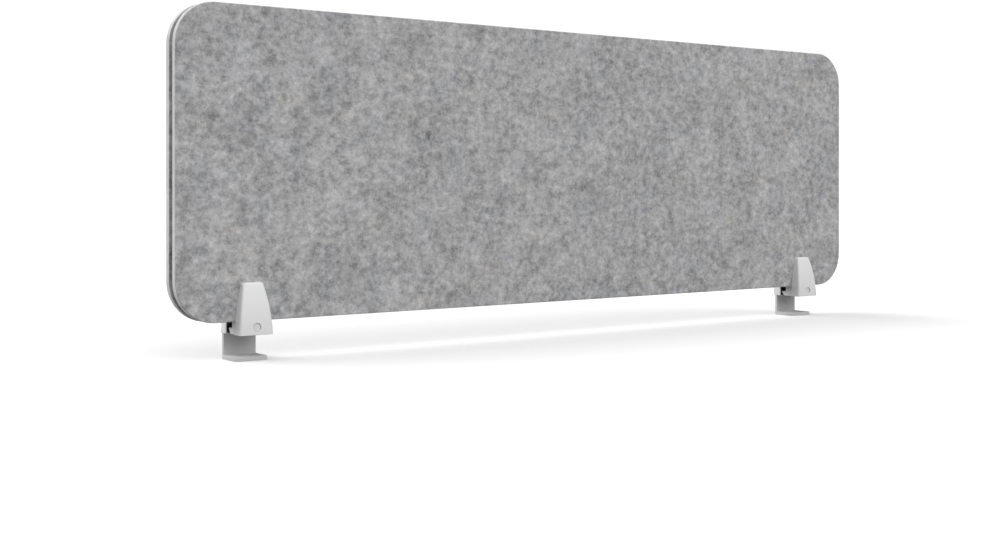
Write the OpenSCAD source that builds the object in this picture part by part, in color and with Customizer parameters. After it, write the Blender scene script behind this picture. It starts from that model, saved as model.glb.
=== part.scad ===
// Desk privacy panel: a felt screen held over the rear edge of a desk by two screw clamps.
// Millimetres. X runs along the screen, +Y points away from the person at the desk, +Z is up.
// The origin is the centre of the footprint, on the surface that the two hooks stand on.

/* [Screen] */
// Width of the screen
panel_w = 1160; // [800:10:1800]
// Height of the screen
panel_h = 375; // [300:5:600]
// Radius of the screen's four corners
corner_r = 50; // [20:1:80]
// Thickness of each of the three boards
board_t = 9; // [7:0.5:12]
// Depth of the groove that the core board leaves round the edge
groove_d = 8; // [3:0.5:15]

/* [Clamp] */
// Distance from the end of the screen to the middle of a clamp
clamp_inset = 95.5; // [80:0.5:300]
// Width of a jaw at its foot
jaw_w = 43.6; // [40:0.2:48]
// Width of a jaw at its top
jaw_top_w = 26; // [20:0.5:28]
// Height of a jaw
jaw_h = 61.5; // [58:0.5:70]
// How far a jaw hangs below the screen
jaw_drop = 15.5; // [15:0.5:18]
// How far the front jaw stands out from the screen at its foot
front_reach = 16; // [15:0.5:18]
// How far the front jaw stands out from the screen at its top
front_top_reach = 7; // [6:0.5:9]
// How far the rear jaw stands out from the screen at its foot
rear_reach = 12; // [11.5:0.5:14]
// How far the rear jaw stands out from the screen at its top
rear_top_reach = 6.5; // [6:0.5:8]
// Lean of a jaw's sides at its foot, in degrees
side_lean = 2.6; // [0:0.1:5]
// Rounding of a jaw's upright outer edges
edge_r = 3.6; // [2:0.2:5]
// Rounding of a jaw's top edge
top_r = 2.4; // [1:0.2:3]
// Thickness of the grip pads
pad_t = 1.5; // [1:0.1:2]

/* [Hook] */
// Height of the slot that takes the desktop
desk_gap = 26.5; // [20:0.5:36]
// Width of the hook
hook_w = 42.5; // [36:0.5:43.5]
// Thickness of the hook's upright
upright_t = 4.2; // [3:0.2:4.2]
// Thickness of the hook's foot
foot_t = 5; // [4:0.5:8]
// Length of the foot in front of the upright
foot_reach = 31.6; // [25:0.2:60]
// Rounding of the foot's front corners
foot_corner_r = 2.5; // [2:0.5:10]
// Travel of the hook below the jaws
hook_travel = 10; // [5:1:12]

/* [Screw] */
// Radius of the screw's shank
shank_r = 3; // [3:1:3]
// Length of the screw's shank
shank_l = 45; // [45:1:45]
// Radius of the screw's head
head_r = 5; // [4.8:0.1:5.1]
// Height of the screw's head
head_h = 5.1; // [5:0.1:5.1]
// Radius of the counterbore in the front jaw
counterbore_r = 5.3; // [5.2:0.1:5.6]

/* [Hidden] */
$fn = 48;

// Directions of the two clamps from the middle of the screen
LEFT = -1;
RIGHT = 1;

// Heights of the assembly
jaw_z = foot_t + desk_gap;                 // underside of the jaws
panel_z = jaw_z + jaw_drop;                // bottom edge of the screen
screw_z = jaw_z + 9.1;                     // axis of the clamp screw
clamp_x = panel_w / 2 - clamp_inset;       // distance of each clamp from the middle

// Depths of the assembly, from the user's side to the far side
panel_t = 3 * board_t;
face_y = (front_reach - rear_reach - panel_t) / 2;   // the screen's front face
back_y = face_y + panel_t;                           // the screen's rear face
ledge = 3.7;                                         // how far the rear jaw reaches under the screen
upright_y = back_y + 3.1;                            // front face of the hook's upright
seat_y = face_y - 7.1;                               // face that the screw's head bears on
cap_recess = 1.4;                                    // depth of the cap's face below the jaw's
cap_t = 2;                                           // thickness of the cap
foot_y = upright_y - foot_reach;                     // front edge of the foot

// The hook's upper end, which slides inside the rear jaw
tang_w = 26;
tang_top = jaw_z + 28.5;
slot_play = 0.3;                           // clearance between the shank and the tang's slot
channel_play = 0.15;                       // clearance round the tang

// The tongue that the front jaw passes under the screen
tongue_l = 22.6;
tongue_w = 36.4;
tongue_h = 7;
tongue_slant = 4.6;                        // how far the tongue's end slopes back towards its underside
tongue_lip = 1;                            // height of the upright part of its end
step_l = 15.2;
step_w = 35;

// Square nut and its pocket in the rear jaw
nut_w = 10;
nut_t = 3.1;
nut_play = 0.1;
bore_play = 0.05;

// Walls of the castings
wall = 2.5;
rib_t = 2;
core_step = 38;                            // height at which the cored space becomes shallower
pad_margin = 3;
pad_play = 0.2;
desk_pad_w = 30;
desk_pad_l = 15;
desk_pad_t = 1;

slice_t = 0.01;                            // thickness of the sections that a jaw is lofted through
body_steps = 10;
top_steps = 4;

// Half the width of a jaw at height t above its foot: a lean that grows towards the top
function half_width(t) = let (lean = tan(side_lean), drop = (jaw_w - jaw_top_w) / 2)
    jaw_w / 2 - lean * t - (drop - lean * jaw_h) * pow(t / jaw_h, 2);

// How far a jaw stands out at height t above its foot
function reach(t, foot, top) = foot - (foot - top) * pow(t / jaw_h, 2);

// Sections of a jaw as [height, inset]: straight up its body, then round its top edge
function sections() = concat(
    [for (i = [0 : body_steps]) [(jaw_h - top_r) * i / body_steps, 0]],
    [for (i = [1 : top_steps]) let (a = 90 * i / top_steps)
        [jaw_h - top_r + top_r * sin(a), top_r * (1 - cos(a))]]
);

// Solid form of a jaw with its flat back at y = 0, standing out towards -Y
module jaw_form(foot, top) {
    intersection() {
        hull() for (s = sections()) {
            w = half_width(s[0]) - s[1];
            d = reach(s[0], foot, top) - s[1];
            translate([0, 0, s[0]]) {
                for (x = [-1, 1]) translate([x * (w - edge_r), -(d - edge_r), 0])
                    cylinder(r = edge_r, h = slice_t, $fn = 32);
                translate([-w, -slice_t, 0]) cube([2 * w, slice_t, slice_t]);
            }
        }
        translate([-jaw_w, -2 * foot, -1]) cube([2 * jaw_w, 2 * foot, jaw_h + 2]);
    }
}

// Flat outline of a jaw, drawn in as far as inset, between two heights above its foot
module jaw_outline(low, high, inset) {
    steps = 8;
    heights = [for (i = [0 : steps]) low + (high - low) * i / steps];
    polygon(concat(
        [for (t = heights) [half_width(t) - inset, t]],
        [for (i = [steps : -1 : 0]) [-(half_width(heights[i]) - inset), heights[i]]]
    ));
}

// Plate of a jaw's outline: its thickness runs from y = 0 towards -Y
module jaw_plate(low, high, inset, thickness) {
    rotate([90, 0, 0]) linear_extrude(thickness) jaw_outline(low, high, inset);
}

// Space cored out of a jaw, with a rib left up the middle: it runs from y = 0 towards -Y
module core_space(low, high, depth) {
    rotate([90, 0, 0]) linear_extrude(depth) difference() {
        jaw_outline(low, high, wall + 2.5);
        translate([-rib_t / 2, low - 1]) square([rib_t, high - low + 2]);
    }
}

// Rod along Y from one depth to another, on the screw's axis
module screw_rod(r, from, to) {
    translate([0, from, screw_z]) rotate([-90, 0, 0]) cylinder(r = r, h = to - from);
}

// Puts a clamp's pieces in place on one side of the screen
module at_clamp(side) {
    translate([side * clamp_x, 0, 0]) children();
}

// One board of the screen, whose edge is drawn in as far as inset
module board(y, inset) {
    w = panel_w / 2 - inset;
    r = corner_r - inset;
    low = panel_z + inset;
    high = panel_z + panel_h - inset;
    translate([0, y + board_t, 0]) rotate([90, 0, 0]) linear_extrude(board_t) union() {
        translate([-w + r, low]) square([2 * (w - r), high - low]);
        translate([-w, low + r]) square([2 * w, high - low - 2 * r]);
        for (x = [-1, 1], z = [low + r, high - r]) translate([x * (w - r), z]) circle(r = r, $fn = 96);
    }
}

module front_felt_board() { color([0.66, 0.66, 0.67]) board(face_y, 0); }
module core_board() { color([0.40, 0.40, 0.41]) board(face_y + board_t, groove_d); }
module rear_felt_board() { color([0.66, 0.66, 0.67]) board(face_y + 2 * board_t, 0); }

// Tongue of the front jaw: a block that carries the screen, and a lip that slopes back at its end
module tongue() {
    translate([-tongue_w / 2, face_y, jaw_z]) rotate([90, 0, 90]) linear_extrude(tongue_w)
        polygon([[0, 0], [tongue_l - tongue_slant, 0], [tongue_l, tongue_h - tongue_lip],
                 [tongue_l, tongue_h], [0, tongue_h]]);
    translate([-step_w / 2, face_y, jaw_z]) cube([step_w, step_l, jaw_drop]);
}

module front_jaw() {
    pocket_low = jaw_drop + pad_margin;
    pocket_high = jaw_h - pad_margin;
    color([0.86, 0.86, 0.87]) difference() {
        union() {
            translate([0, face_y, jaw_z]) jaw_form(front_reach, front_top_reach);
            tongue();
        }
        // recess for the grip pad, and two cored spaces behind it with one rib up the middle
        translate([0, face_y + 1, jaw_z]) jaw_plate(pocket_low, pocket_high, pad_margin, pad_t + 1);
        translate([0, face_y + 1, jaw_z]) core_space(pocket_low + 2, core_step, 10);
        translate([0, face_y + 1, jaw_z]) core_space(core_step - 1, jaw_h - 8, 7);
        screw_rod(counterbore_r, face_y - front_reach - 1, seat_y);
        screw_rod(shank_r + slot_play, seat_y - 1, face_y + tongue_l + 1);
        // recess for the desk pad
        translate([-desk_pad_w / 2, face_y - 2, jaw_z - 1]) cube([desk_pad_w, desk_pad_l, desk_pad_t + 1]);
    }
}

module front_grip_pad() {
    color([0.16, 0.16, 0.17]) translate([0, face_y, jaw_z])
        jaw_plate(jaw_drop + pad_margin + pad_play, jaw_h - pad_margin - pad_play, pad_margin + pad_play, pad_t);
}

module desk_pad() {
    color([0.16, 0.16, 0.17])
        translate([-desk_pad_w / 2 + pad_play, face_y - 2 + pad_play, jaw_z])
        cube([desk_pad_w - 2 * pad_play, desk_pad_l - 2 * pad_play, desk_pad_t]);
}

// Push-in cap that hides the screw: a disc with a short split skirt behind it
module screw_cap() {
    front = face_y - reach(screw_z - jaw_z, front_reach, front_top_reach) + cap_recess;
    skirt_in = counterbore_r - 1;
    color([0.80, 0.80, 0.81]) difference() {
        screw_rod(counterbore_r - 0.12, front, front + cap_t);
        screw_rod(skirt_in, front + 1.2, front + cap_t + 1);
        translate([-0.5, front + 1.2, screw_z - 6]) cube([1, 2, 12]);
    }
}

// Socket head screw
module clamp_screw() {
    socket_w = 5;
    socket_d = 3;
    color([0.62, 0.63, 0.65]) difference() {
        union() {
            screw_rod(head_r, seat_y - head_h, seat_y);
            screw_rod(shank_r, seat_y - 1, seat_y + shank_l);
        }
        translate([0, seat_y - head_h - 1, screw_z]) rotate([-90, 0, 0])
            cylinder(r = socket_w / 2 / cos(30), h = socket_d + 1, $fn = 6);
    }
}

module rear_jaw() {
    channel_w = tang_w + 2 * channel_play;
    channel_t = upright_t + 2 * channel_play;
    pocket_low = jaw_drop + pad_margin;
    pocket_high = jaw_h - pad_margin;
    core_low = tang_top - jaw_z + 4;
    nut_y = upright_y + upright_t + channel_play;
    color([0.86, 0.86, 0.87]) difference() {
        union() {
            translate([0, back_y, jaw_z]) mirror([0, 1, 0]) jaw_form(rear_reach, rear_top_reach);
            translate([0, back_y, jaw_z]) jaw_plate(0, jaw_drop, 0, ledge);
        }
        // recess for the grip pad, and the cored space behind it above the channel
        translate([0, back_y + pad_t, jaw_z]) jaw_plate(pocket_low, pocket_high, pad_margin, pad_t + 1);
        translate([-8, back_y - 1, jaw_z + core_low]) cube([16, 1 + rear_top_reach - wall, jaw_h - core_low - 6]);
        // channel for the hook's tang
        translate([-channel_w / 2, upright_y - channel_play, jaw_z - 1])
            cube([channel_w, channel_t, tang_top - jaw_z + 1.5]);
        screw_rod(shank_r + slot_play, face_y, seat_y + shank_l + 0.3);
        translate([-nut_w / 2 - nut_play, nut_y - 1, screw_z - nut_w / 2 - nut_play])
            cube([nut_w + 2 * nut_play, nut_t + nut_play + 1, nut_w + 2 * nut_play]);
    }
}

module rear_grip_pad() {
    color([0.16, 0.16, 0.17]) translate([0, back_y + pad_t, jaw_z])
        jaw_plate(jaw_drop + pad_margin + pad_play, jaw_h - pad_margin - pad_play, pad_margin + pad_play, pad_t);
}

module square_nut() {
    nut_y = upright_y + upright_t + channel_play + nut_play / 2;
    color([0.62, 0.63, 0.65]) difference() {
        translate([-nut_w / 2, nut_y, screw_z - nut_w / 2]) cube([nut_w, nut_t, nut_w]);
        screw_rod(shank_r + bore_play, nut_y - 1, nut_y + nut_t + 1);
    }
}

// Desk hook: a foot that goes under the desktop, an upright behind its edge, and a slotted tang
module desk_hook() {
    r = foot_corner_r;
    half = hook_w / 2;
    slot_r = shank_r + slot_play;
    rear = upright_y + upright_t;
    color([0.80, 0.80, 0.81]) difference() {
        union() {
            for (x = [-1, 1]) translate([x * (half - r), foot_y + r, 0]) cylinder(r = r, h = foot_t);
            translate([-half + r, foot_y, 0]) cube([hook_w - 2 * r, rear - foot_y, foot_t]);
            translate([-half, foot_y + r, 0]) cube([hook_w, rear - foot_y - r, foot_t]);
            translate([-half, upright_y, 0]) cube([hook_w, upright_t, jaw_z]);
            translate([-tang_w / 2, upright_y, 0]) cube([tang_w, upright_t, tang_top]);
        }
        for (z = [screw_z, screw_z + hook_travel]) translate([0, upright_y - 1, z])
            rotate([-90, 0, 0]) cylinder(r = slot_r, h = upright_t + 2);
        translate([-slot_r, upright_y - 1, screw_z]) cube([2 * slot_r, upright_t + 2, hook_travel]);
    }
}

front_felt_board();
core_board();
rear_felt_board();

at_clamp(LEFT) front_jaw();  // left_front_jaw
at_clamp(LEFT) front_grip_pad();  // left_front_grip_pad
at_clamp(LEFT) desk_pad();  // left_desk_pad
at_clamp(LEFT) screw_cap();  // left_screw_cap
at_clamp(LEFT) clamp_screw();  // left_clamp_screw
at_clamp(LEFT) rear_jaw();  // left_rear_jaw
at_clamp(LEFT) rear_grip_pad();  // left_rear_grip_pad
at_clamp(LEFT) square_nut();  // left_square_nut
at_clamp(LEFT) desk_hook();  // left_desk_hook

at_clamp(RIGHT) front_jaw();  // right_front_jaw
at_clamp(RIGHT) front_grip_pad();  // right_front_grip_pad
at_clamp(RIGHT) desk_pad();  // right_desk_pad
at_clamp(RIGHT) screw_cap();  // right_screw_cap
at_clamp(RIGHT) clamp_screw();  // right_clamp_screw
at_clamp(RIGHT) rear_jaw();  // right_rear_jaw
at_clamp(RIGHT) rear_grip_pad();  // right_rear_grip_pad
at_clamp(RIGHT) square_nut();  // right_square_nut
at_clamp(RIGHT) desk_hook();  // right_desk_hook
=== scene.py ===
"""Looks of the desk privacy panel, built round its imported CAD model.

Three sub-assemblies are dressed here: the felt screen, its two screw clamps and the plain studio that
they stand in. Everything is in metres, in the frame of the CAD model: X along the screen, +Y away
from the person at the desk, Z up from the plane that the hooks stand on.
"""

import logging
import math
from collections.abc import Iterable, Sequence
from dataclasses import dataclass
from enum import Enum

import bmesh
import bpy
from mathutils import Matrix, Vector, noise


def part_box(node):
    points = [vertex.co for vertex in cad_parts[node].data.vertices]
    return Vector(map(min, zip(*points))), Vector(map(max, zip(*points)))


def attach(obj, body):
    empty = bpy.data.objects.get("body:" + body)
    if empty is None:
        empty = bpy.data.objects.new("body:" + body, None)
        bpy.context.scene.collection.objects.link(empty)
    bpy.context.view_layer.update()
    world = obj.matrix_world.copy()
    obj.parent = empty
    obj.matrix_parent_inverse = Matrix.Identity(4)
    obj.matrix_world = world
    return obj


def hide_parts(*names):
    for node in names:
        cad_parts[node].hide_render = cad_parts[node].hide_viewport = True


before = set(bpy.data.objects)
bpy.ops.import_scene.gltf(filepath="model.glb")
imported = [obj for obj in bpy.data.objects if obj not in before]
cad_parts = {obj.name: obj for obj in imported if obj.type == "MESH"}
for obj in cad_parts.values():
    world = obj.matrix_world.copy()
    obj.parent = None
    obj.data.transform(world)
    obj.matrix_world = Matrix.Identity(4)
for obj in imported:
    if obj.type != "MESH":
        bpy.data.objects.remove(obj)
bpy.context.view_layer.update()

MM = 0.001
PANEL_BODY = "panel"

Point = tuple[float, float, float]
Colour = tuple[float, float, float, float]

logging.basicConfig(level=logging.INFO, format="%(name)s: %(message)s")
log = logging.getLogger("privacy_panel")


class Side(Enum):
    """Which end of the screen a clamp holds: the value is the sign of its X."""

    LEFT = -1
    RIGHT = 1

    @property
    def label(self) -> str:
        """The side's name in lower case, as the CAD nodes and bodies use it."""
        return self.name.lower()


class Facing(Enum):
    """The way that a board or a jaw faces: the value is the sign of its Y."""

    FRONT = -1
    REAR = 1


# ----- Node trees: maths written as expressions, and one method that adds every other node -----


class Field:
    """One output of a node. Arithmetic on it adds Math nodes to the same tree."""

    def __init__(self, sheet: "NodeSheet", socket: bpy.types.NodeSocket) -> None:
        """Wraps an output socket of a tree."""
        self.sheet = sheet
        self.socket = socket

    def _math(self, operation: str, *values: "float | Field") -> "Field":
        """Adds one Math node with these inputs."""
        return self.sheet.node("ShaderNodeMath", {"operation": operation}, dict(enumerate(values)))

    def __add__(self, other: "float | Field") -> "Field":
        """self + other, either way round."""
        return self._math("ADD", self, other)

    def __sub__(self, other: "float | Field") -> "Field":
        """self - other."""
        return self._math("SUBTRACT", self, other)

    def __rsub__(self, other: float) -> "Field":
        """other - self."""
        return self._math("SUBTRACT", other, self)

    def __mul__(self, other: "float | Field") -> "Field":
        """self * other, either way round."""
        return self._math("MULTIPLY", self, other)

    def __pow__(self, other: "float | Field") -> "Field":
        """self ** other."""
        return self._math("POWER", self, other)

    def __abs__(self) -> "Field":
        """The size of self without its sign."""
        return self._math("ABSOLUTE", self)

    __radd__ = __add__
    __rmul__ = __mul__

    def fade(self, low: float, high: float) -> "Field":
        """A smooth step from 0 where this value is low to 1 where it is high; high may be the lower."""
        return self.sheet.node(
            "ShaderNodeMapRange",
            {"interpolation_type": "SMOOTHSTEP"},
            {"Value": self, "From Min": low, "From Max": high},
        )


class NodeSheet:
    """A node tree with one method for adding nodes, for materials, worlds and geometry alike."""

    def __init__(self, tree: bpy.types.NodeTree) -> None:
        """Takes a tree and empties it."""
        self.tree = tree
        tree.nodes.clear()

    @staticmethod
    def find_socket(sockets: Iterable[bpy.types.NodeSocket], key: "str | int") -> bpy.types.NodeSocket:
        """Finds a socket.

        Args:
            sockets: A node's inputs or outputs.
            key: The socket's place, identifier or name.

        Returns:
            The socket.
        """
        listed = list(sockets)
        if isinstance(key, int):
            return listed[key]
        matches = [s for s in listed if s.identifier == key] or [s for s in listed if s.name == key]
        return matches[0]

    def node(
        self,
        kind: str,
        settings: "dict[str, object] | None" = None,
        sockets: "dict[str | int, object] | None" = None,
        output: "str | int" = 0,
    ) -> Field:
        """Adds a node.

        Args:
            kind: The node's type.
            settings: Its properties, set before its sockets; "stops" holds a ramp's stops.
            sockets: Values or fields for its inputs.
            output: Which of its outputs to give back.

        Returns:
            The chosen output.
        """
        made = self.tree.nodes.new(kind)
        for name, value in (settings or {}).items():
            if name == "stops":
                self._set_stops(made.color_ramp, value)
            else:
                setattr(made, name, value)
        for key, value in (sockets or {}).items():
            socket = self.find_socket(made.inputs, key)
            for one in value if isinstance(value, list) else [value]:
                if isinstance(one, Field):
                    self.tree.links.new(one.socket, socket)
                else:
                    socket.default_value = one
        if not made.outputs:
            return Field(self, None)
        return Field(self, self.find_socket(made.outputs, output))

    @staticmethod
    def _set_stops(ramp: bpy.types.ColorRamp, stops: Sequence[tuple[float, Colour]]) -> None:
        """Sets a ramp's stops.

        Args:
            ramp: The ramp.
            stops: Each stop's place and colour, from low to high.
        """
        while len(ramp.elements) < len(stops):
            ramp.elements.new(0.5)
        for element, (place, colour) in zip(ramp.elements, stops):
            element.position = place
            element.color = colour


class MaterialSheet(NodeSheet):
    """The node tree of one material."""

    def __init__(self, name: str) -> None:
        """Makes the material with an empty tree."""
        self.material = bpy.data.materials.new(name)
        self.material.use_nodes = True
        super().__init__(self.material.node_tree)
        self.place = self.node("ShaderNodeTexCoord", output="Object")

    def stretched(self, grain: Point, turn: Point) -> Field:
        """Object coordinates turned, in radians, and divided by a grain size on each axis."""
        turned = self.node(
            "ShaderNodeMapping", {"vector_type": "TEXTURE"}, {"Vector": self.place, "Rotation": turn}
        )
        return self.node(
            "ShaderNodeMapping", None, {"Vector": turned, "Scale": tuple(1 / size for size in grain)}
        )

    def grain(
        self,
        size: "float | Point",
        detail: float = 2.0,
        rough: float = 0.5,
        swirl: float = 0.0,
        turn: Point = (0.0, 0.0, 0.0),
    ) -> Field:
        """Smooth noise on the piece's own coordinates.

        Args:
            size: The size of one grain, in metres, or its size on each axis.
            detail: How many finer layers the noise has.
            rough: The strength of the finer layers.
            swirl: How far the noise is distorted by itself.
            turn: The grain's turn about the three axes, in radians.

        Returns:
            The noise, from 0 to 1 about a mean of 0.5.
        """
        sizes = size if isinstance(size, tuple) else (size, size, size)
        return self.node(
            "ShaderNodeTexNoise",
            {"noise_dimensions": "3D"},
            {
                "Vector": self.stretched(sizes, turn),
                "Scale": 1.0,
                "Detail": detail,
                "Roughness": rough,
                "Distortion": swirl,
            },
        )

    def blend(self, low: "Colour | Field", high: "Colour | Field", amount: "float | Field") -> Field:
        """Mixes two colours: low where amount is 0, high where it is 1."""
        return self.node(
            "ShaderNodeMix",
            {"data_type": "RGBA", "clamp_factor": True},
            {"Factor_Float": amount, "A_Color": low, "B_Color": high},
            output="Result_Color",
        )

    def bump(self, height: Field, depth: float, strength: float = 1.0) -> Field:
        """Turns a height from 0 to 1 into a normal; depth is what a height of 1 stands for."""
        sockets = {"Height": height, "Distance": depth, "Strength": strength}
        return self.node("ShaderNodeBump", None, sockets)

    def surface(self, sockets: "dict[str, object]") -> bpy.types.Material:
        """Ends the tree in one Principled shader and gives back the material."""
        shader = self.node("ShaderNodeBsdfPrincipled", None, sockets)
        self.node("ShaderNodeOutputMaterial", None, {"Surface": shader})
        return self.material


# ----- Finishes -----


def grey(level: float, warmth: float = 0.0, rose: float = 0.0) -> Colour:
    """A grey, a little warm, cool or rosy.

    Args:
        level: Its lightness, from 0 to 1 on a linear scale.
        warmth: How far red is above green and blue below it, as a share of the level.
        rose: How far green is below the other two, likewise.

    Returns:
        The colour.
    """
    return (level * (1 + warmth), level * (1 - rose), level * (1 - warmth), 1.0)


def scaled(colour: Colour, share: float) -> Colour:
    """A colour made darker or lighter by a share, and never brighter than white."""
    return tuple(min(1.0, part * share) for part in colour[:3]) + (1.0,)


@dataclass(frozen=True)
class NeedledFelt:
    """Pressed felt of mixed light and dark fibres: clouded, streaked upwards, flecked and fuzzy."""

    name: str
    dark: Colour = grey(0.115, -0.055, 0.010)
    light: Colour = grey(0.68, -0.006, 0.010)
    warm_light: Colour = grey(0.68, 0.022, 0.006)
    fleck: Colour = grey(0.12, -0.040, 0.010)
    cut_edge: Colour = grey(0.58, 0.004, 0.008)
    contrast: float = 1.0
    edge_share: float = 0.70
    fleck_share: float = 0.22

    def _tone(self, sheet: MaterialSheet, nap: Field) -> Field:
        """How light each place is, from clouds a hand wide down to single fibres.

        Args:
            sheet: The material's tree.
            nap: The height of the surface fibres.

        Returns:
            The lightness, from 0 to 1.
        """
        clouds = sheet.grain((0.048, 0.030, 0.046), detail=5.0, rough=0.74, swirl=0.2) - 0.5
        knots = sheet.grain((0.0120, 0.0100, 0.0105), detail=4.0, rough=0.78, swirl=0.12) - 0.5
        upright = sheet.grain((0.0020, 0.004, 0.0075), detail=2.0, rough=0.6) - 0.5
        lying = sheet.grain((0.0075, 0.004, 0.0020), detail=2.0, rough=0.6, turn=(0.0, 0.35, 0.0)) - 0.5
        mixed = clouds * 0.72 + knots * 1.42 + upright * 0.16 + lying * 0.16 + (nap - 0.5) * 0.8
        return mixed * self.contrast + 0.5

    def _flecks(self, sheet: MaterialSheet) -> Field:
        """The strength, from 0 to 1, of thin dark wisps where dark fibres lie together."""
        line = sheet.grain((0.030, 0.020, 0.022), detail=4.0, rough=0.6, swirl=0.6)
        where = sheet.grain(0.020, detail=2.0, rough=0.6).fade(0.50, 0.66)
        return abs(line - 0.5).fade(0.08, 0.0) * where * self.fleck_share

    def _nap(self, sheet: MaterialSheet) -> Field:
        """Height of the surface fibres, which lie in three crossing directions.

        Args:
            sheet: The material's tree.

        Returns:
            The height, from 0 to 1.
        """
        upright = sheet.grain((0.0005, 0.0009, 0.0045), detail=1.0)
        leaning = sheet.grain((0.0005, 0.0009, 0.0040), detail=1.0, turn=(0.0, 0.9, 0.0))
        lying = sheet.grain((0.0005, 0.0009, 0.0040), detail=1.0, turn=(0.0, -1.1, 0.0))
        pile = sheet.grain(0.0030, detail=2.0)
        return upright * 0.34 + leaning * 0.22 + lying * 0.22 + pile * 0.22

    def material(self) -> bpy.types.Material:
        """Builds the felt's material. The piece's "cut" attribute is 1 on its cut edge."""
        sheet = MaterialSheet(self.name)
        nap = self._nap(sheet)
        warmth = sheet.grain(0.040, detail=3.0, rough=0.6).fade(0.40, 0.66)
        light = sheet.blend(self.light, self.warm_light, warmth)
        body = sheet.blend(self.dark, light, self._tone(sheet, nap))
        flecked = sheet.blend(body, self.fleck, self._flecks(sheet))
        cut = sheet.node("ShaderNodeAttribute", {"attribute_name": "cut"}, output="Fac")
        layers = sheet.grain((0.010, 0.0011, 0.010), detail=2.0, rough=0.6)
        edge = sheet.blend(flecked, self.cut_edge, cut * self.edge_share * (0.72 + layers * 0.56))
        return sheet.surface(
            {
                "Base Color": edge,
                "Roughness": 0.88 + nap * 0.12,
                "Specular IOR Level": 0.12,
                "Sheen Weight": 0.22,
                "Sheen Roughness": 0.45,
                "Sheen Tint": grey(0.95),
                "Normal": sheet.bump(nap, 0.35 * MM, 0.8),
            }
        )


@dataclass(frozen=True)
class PowderCoat:
    """Satin powder coat on a casting: fine orange peel, and slightly duller where it is handled."""

    name: str
    colour: Colour = grey(0.73, -0.002)
    roughness: float = 0.45
    peel: float = 0.030

    def material(self) -> bpy.types.Material:
        """Builds the coat's material."""
        sheet = MaterialSheet(self.name)
        cloud = sheet.grain(0.022, detail=2.0)
        speck = sheet.grain(0.00045, detail=1.0)
        dust = sheet.grain(0.0016, detail=2.0, rough=0.6)
        tone = (cloud - 0.5) * 0.05 + (speck - 0.5) * 0.10 + (dust - 0.5) * 0.04 + 1.0
        colour = sheet.blend(scaled(self.colour, 0.86), scaled(self.colour, 1.14), tone - 0.5)
        handled = sheet.grain(0.009, detail=3.0, rough=0.6).fade(0.48, 0.66)
        peel = sheet.grain(0.0009, detail=2.0, rough=0.55)
        return sheet.surface(
            {
                "Base Color": colour,
                "Roughness": self.roughness + handled * 0.07 + (speck - 0.5) * 0.08,
                "Specular IOR Level": 0.45,
                "Normal": sheet.bump(peel, self.peel * MM, 1.0),
            }
        )


@dataclass(frozen=True)
class MouldedPlastic:
    """Fine-textured moulded plastic."""

    name: str
    colour: Colour = grey(0.72)
    roughness: float = 0.40

    def material(self) -> bpy.types.Material:
        """Builds the plastic's material."""
        sheet = MaterialSheet(self.name)
        texture = sheet.grain(0.00035, detail=1.0)
        drift = sheet.grain(0.006, detail=2.0)
        return sheet.surface(
            {
                "Base Color": sheet.blend(scaled(self.colour, 0.9), self.colour, drift.fade(0.3, 0.6)),
                "Roughness": self.roughness + (drift - 0.5) * 0.12,
                "Normal": sheet.bump(texture, 0.015 * MM, 1.0),
            }
        )


@dataclass(frozen=True)
class GripRubber:
    """Matt black rubber with a bloom of dust."""

    name: str
    colour: Colour = grey(0.022)
    bloom: Colour = grey(0.060)

    def material(self) -> bpy.types.Material:
        """Builds the rubber's material."""
        sheet = MaterialSheet(self.name)
        dusty = sheet.grain(0.004, detail=4.0, rough=0.65).fade(0.42, 0.68)
        skin = sheet.grain(0.0006, detail=2.0)
        return sheet.surface(
            {
                "Base Color": sheet.blend(self.colour, self.bloom, dusty),
                "Roughness": 0.72 + dusty * 0.14,
                "Specular IOR Level": 0.35,
                "Normal": sheet.bump(skin, 0.04 * MM, 0.8),
            }
        )


@dataclass(frozen=True)
class ZincPlate:
    """Bright zinc plate on steel, clouded and finely brushed."""

    name: str
    colour: Colour = (0.62, 0.63, 0.66, 1.0)
    shadow: Colour = (0.44, 0.45, 0.47, 1.0)

    def material(self) -> bpy.types.Material:
        """Builds the plate's material."""
        sheet = MaterialSheet(self.name)
        cloud = sheet.grain(0.003, detail=3.0, rough=0.6)
        brushed = sheet.grain((0.0002, 0.003, 0.0002), detail=1.0)
        return sheet.surface(
            {
                "Base Color": sheet.blend(self.shadow, self.colour, cloud.fade(0.35, 0.6)),
                "Metallic": 1.0,
                "Roughness": 0.26 + cloud * 0.16 + (brushed - 0.5) * 0.1,
                "Normal": sheet.bump(brushed, 0.01 * MM, 0.7),
            }
        )


# ----- Mesh work -----


def linked(name: str, data: bpy.types.ID) -> bpy.types.Object:
    """Makes an object for a mesh or a camera and links it to the scene."""
    made = bpy.data.objects.new(name, data)
    bpy.context.scene.collection.objects.link(made)
    return made


def seat(piece: bpy.types.Object, body: str, *nodes: str) -> None:
    """Puts a finished piece on a body.

    Args:
        piece: The piece.
        body: The CAD body that it moves with.
        nodes: The CAD nodes that it stands for.
    """
    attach(piece, body)
    if nodes:
        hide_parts(*nodes)
    log.info("%s: %d faces on %s", piece.name, len(piece.data.polygons), body)


def quarter(steps: int, first: int = 0) -> list[tuple[float, float]]:
    """The sine and cosine at even steps of a quarter turn, from step first to 90 degrees."""
    turns = (math.radians(90) * step / steps for step in range(first, steps + 1))
    return [(math.sin(turn), math.cos(turn)) for turn in turns]


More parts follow.
